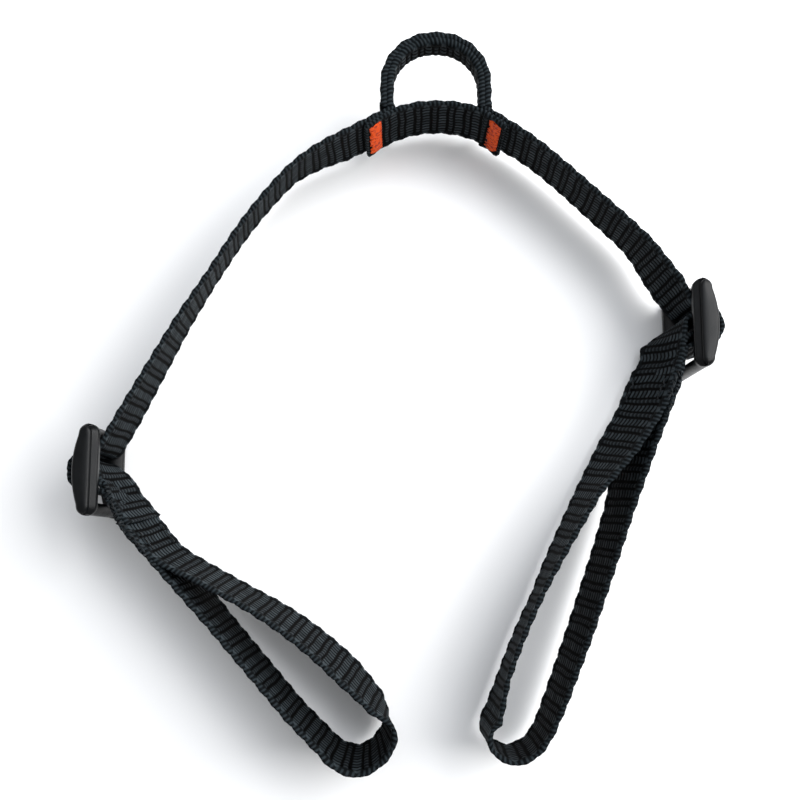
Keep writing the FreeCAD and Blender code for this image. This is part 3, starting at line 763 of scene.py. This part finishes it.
def makeStitchTree():
    # one arched stitch on each point, laid along the point's way and turned, slipped and scaled by chance
    tree, given = newTree("stitches", {
        "Geometry": "Geometry", "Length": "Float", "Rise": "Float", "Radius": "Float", "Turn": "Float",
        "Stray": "Float", "Slip": "Float", "Shrink": "Float", "Seed": "Int", "Material": "Material",
    })
    way = addNode(tree, "GeometryNodeInputNamedAttribute", {"data_type": "FLOAT_VECTOR"}, {"Name": "way"})
    outward = addNode(tree, "GeometryNodeInputNamedAttribute", {"data_type": "FLOAT_VECTOR"}, {"Name": "outward"})
    half = addNode(tree, "ShaderNodeMath", {"operation": "MULTIPLY"}, {0: given["Length"], 1: 0.5})
    back = addNode(tree, "ShaderNodeMath", {"operation": "MULTIPLY"}, {0: half, 1: -1.0})
    start = addNode(tree, "ShaderNodeCombineXYZ", {}, {0: back})
    top = addNode(tree, "ShaderNodeCombineXYZ", {}, {2: given["Rise"]})
    end = addNode(tree, "ShaderNodeCombineXYZ", {}, {0: half})
    line = addNode(tree, "GeometryNodeCurveQuadraticBezier", {}, {"Resolution": 4, "Start": start, "Middle": top, "End": end})
    ply = addNode(tree, "GeometryNodeCurvePrimitiveCircle", {}, {"Resolution": 6, "Radius": given["Radius"]})
    stitch = addNode(tree, "GeometryNodeCurveToMesh", {}, {"Curve": line, "Profile Curve": ply, "Fill Caps": True})
    along = addNode(tree, "FunctionNodeAlignEulerToVector", {"axis": "X"}, {"Vector": way})
    upright = addNode(tree, "FunctionNodeAlignEulerToVector", {"axis": "Z", "pivot_axis": "X"},
                      {"Rotation": along, "Vector": outward})
    chance = addNode(tree, "FunctionNodeRandomValue", {"data_type": "FLOAT"}, {2: -1.0, 3: 1.0, "Seed": given["Seed"]})
    turned = addNode(tree, "ShaderNodeMath", {"operation": "MULTIPLY_ADD"},
                     {0: chance.outputs[1], 1: given["Stray"], 2: given["Turn"]})
    spin = addNode(tree, "ShaderNodeCombineXYZ", {}, {2: turned})
    rotation = addNode(tree, "FunctionNodeRotateEuler", {"rotation_type": "EULER", "space": "LOCAL"},
                       {"Rotation": upright, "Rotate By": spin})
    nextSeed = addNode(tree, "ShaderNodeMath", {"operation": "ADD"}, {0: given["Seed"], 1: 5.0})
    slip = addNode(tree, "FunctionNodeRandomValue", {"data_type": "FLOAT"}, {2: -1.0, 3: 1.0, "Seed": nextSeed})
    least = addNode(tree, "ShaderNodeMath", {"operation": "SUBTRACT"}, {0: 1.0, 1: given["Shrink"]})
    size = addNode(tree, "FunctionNodeRandomValue", {"data_type": "FLOAT"}, {2: least, 3: 1.0, "Seed": nextSeed})
    scale = addNode(tree, "ShaderNodeCombineXYZ", {}, {0: size.outputs[1], 1: 1.0, 2: 1.0})
    rows = addNode(tree, "GeometryNodeInstanceOnPoints", {},
                   {"Points": given["Geometry"], "Instance": stitch, "Rotation": rotation, "Scale": scale})
    far = addNode(tree, "ShaderNodeMath", {"operation": "MULTIPLY"}, {0: slip.outputs[1], 1: given["Slip"]})
    aside = addNode(tree, "ShaderNodeCombineXYZ", {}, {0: far})
    slipped = addNode(tree, "GeometryNodeTranslateInstances", {}, {"Instances": rows, "Translation": aside,
                                                                   "Local Space": True})
    finishTree(tree, addNode(tree, "GeometryNodeRealizeInstances", {}, {"Geometry": slipped}), given["Material"])
    return tree


stitchTree = makeStitchTree()


def sew(name, spots, values):
    # spots: (place, way, outward), in millimetres
    mesh = bpy.data.meshes.new(name)
    mesh.from_pydata([tuple(np.asarray(spot[0]) * mm) for spot in spots], [], [])
    for label, column in (("way", 1), ("outward", 2)):
        attribute = mesh.attributes.new(label, "FLOAT_VECTOR", "POINT")
        attribute.data.foreach_set("vector", np.array([spot[column] for spot in spots], np.float32).reshape(-1))
    lengths = {key: values[key] * mm for key in ("Length", "Rise", "Radius", "Slip")}
    return growMesh(name, mesh, stitchTree, dict(values, **lengths))


# Bar tacks hold the folded ends of the cover
tack = {
    "row": 0.5, "margin": 1.9, "proud": {"left": 0.65, "right": 0.85},
    "values": {"Length": 4.5, "Rise": 0.5, "Radius": 0.36, "Turn": 0.0, "Stray": 0.16, "Slip": 0.45, "Shrink": 0.25,
               "Seed": 4, "Material": orangeThread},
}
for name, side in sides.items():
    angle = math.radians(90 - side["mirror"] * bow["tack"])
    radius = bow["radius"] - webbing["thickness"] / 2 + tack["proud"][name]
    inward = np.array((-math.cos(angle), -math.sin(angle), 0))
    way = np.array((-math.sin(angle), math.cos(angle), 0))
    levels = np.arange(webbing["low"] + tack["margin"], webbing["low"] + webbing["width"] - tack["margin"], tack["row"])
    spots = [(np.array((*bowCentre, z)) - inward * radius, way, inward) for z in levels]
    piece = sew(name + "TackStitches", spots, tack["values"])
    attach(piece, "centre")
    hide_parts(name + "_bar_tack")

# Sewn ends: rows of lockstitches on the inner leg, and frayed overcast stitches on the upper edges
seam = {
    "pitch": 2.6, "inset": 4.0, "start": 1.5,
    # how far along the legs from the centre bar the frayed rows start, clear of the slide as it tilts
    "clear": {"left": 7.0, "right": 16.0},
    # mm off the outer leg, mm below its upper edge, mm along it
    "rows": {"left": ((-0.4, 0.1, 26.0), (0.6, 1.0, 9.0), (1.1, 2.4, 7.0)), "right": ((-0.5, 0.1, 24.0),)},
    "values": {"Length": 2.4, "Rise": 0.45, "Radius": 0.24, "Turn": 0.0, "Stray": 0.25, "Slip": 0.3, "Shrink": 0.3,
               "Seed": 8, "Material": blackThread},
    "frayed": {"Length": 3.0, "Rise": 1.2, "Radius": 0.28, "Turn": 0.7, "Stray": 1.1, "Slip": 0.6, "Shrink": 0.5,
               "Seed": 15, "Material": blackThread},
}


def besideRoute(name, runs, out, z):
    # points beside the strap: out is to the left of its way
    stations = at(routes[name], runs)
    stray = edgeShift(runs, sides[name]["shifts"])
    share = (z - webbing["low"]) / webbing["width"]
    spots = []
    for (x, y, heading), (low, high) in zip(stations, stray):
        normal = np.array((-math.sin(heading), math.cos(heading), 0))
        spots.append((np.array((x, y, z)) + normal * (out + low + (high - low) * share), normal,
                      np.array((math.cos(heading), math.sin(heading), 0))))
    return spots


for name, side in sides.items():
    route = routes[name]
    mark = route["bends"] + 7
    tailEnd = side["tailRun"] + seam["start"]
    begin = runOnLeg(route, mark + 1, 0, tailEnd)
    finish = route["marks"][mark][1]
    runs = np.arange(finish, begin, seam["pitch"])
    face = side["mirror"] * (webbing["thickness"] / 2 + 0.1)
    spots = []
    for z in (webbing["low"] + seam["inset"], webbing["low"] + webbing["width"] - seam["inset"]):
        # the inner leg's outer face looks into the space between the arms
        spots += [(place, way, normal * side["mirror"]) for place, normal, way in besideRoute(name, runs, face, z)]
    lock = sew(name + "EndStitches", spots, seam["values"])
    top = webbing["low"] + webbing["width"]
    edgeRuns = np.arange(finish, runOnLeg(route, mark + 1, 0, seam["clear"][name]), 1.1)
    spots = [(place, way, (0, 0, 1)) for place, normal, way in besideRoute(name, edgeRuns, 0.0, top)]
    outerStart = side["runsAt"]["outer"] - 8.0 + seam["clear"][name]
    for out, below, reach in seam["rows"][name]:
        outerRuns = np.arange(outerStart, side["runsAt"]["outer"] + reach, 1.2)
        spots += [(place, way, normal * side["mirror"])
                  for place, normal, way in besideRoute(name, outerRuns, side["mirror"] * out, top - below)]
    frayed = sew(name + "FrayedStitches", spots, seam["frayed"])
    for piece in (lock, frayed):
        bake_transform(piece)
        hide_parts(name + "_end_seam")
print("stitches ready")

# Floor, light and camera
floorMesh = bpy.data.meshes.new("studioFloor")
floorMesh.from_pydata([(-3, -3, 0), (3, -3, 0), (3, 3, 0), (-3, 3, 0)], [], [(0, 1, 2, 3)])
floor = bpy.data.objects.new("studioFloor", floorMesh)
bpy.context.scene.collection.objects.link(floor)
paper = bpy.data.materials.new("whitePaper")
paper.use_nodes = True
paper.node_tree.nodes["Principled BSDF"].inputs["Base Color"].default_value = srgb("#f4f4f4")
paper.node_tree.nodes["Principled BSDF"].inputs["Roughness"].default_value = 0.9
floorMesh.materials.append(paper)

world = bpy.data.worlds.new("studio")
bpy.context.scene.world = world
world.use_nodes = True
world.node_tree.nodes["Background"].inputs["Color"].default_value = srgb("#f6f8fa")
world.node_tree.nodes["Background"].inputs["Strength"].default_value = 0.5


def addLamp(name, place, target, size, watts, colour):
    lamp = bpy.data.lights.new(name, "AREA")
    lamp.shape = "RECTANGLE"
    lamp.size, lamp.size_y = size
    lamp.energy = watts
    lamp.color = srgb(colour)[:3]
    obj = bpy.data.objects.new(name, lamp)
    obj.location = place
    obj.rotation_euler = (Vector(target) - Vector(place)).to_track_quat("-Z", "Y").to_euler()
    bpy.context.scene.collection.objects.link(obj)


addLamp("keySoftbox", (0.68, 0.12, 0.62), (0, -0.1, 0.01), (0.85, 0.85), 15.0, "#ffffff")
addLamp("topSoftbox", (0.1, 0.25, 0.9), (0, -0.1, 0.01), (0.8, 0.6), 4.0, "#f4f8ff")

camera = bpy.data.cameras.new("camera")
camera.lens = 47.1
camera.sensor_width = 36.0
camera.clip_start = 0.01
viewer = bpy.data.objects.new("camera", camera)
viewer.location = (-0.0113, -0.149, 0.3417)
viewer.rotation_euler = (math.radians(8.05), 0, 0)
bpy.context.scene.collection.objects.link(viewer)
bpy.context.scene.camera = viewer
bpy.context.scene.view_settings.view_transform = "Standard"

print("scene ready")
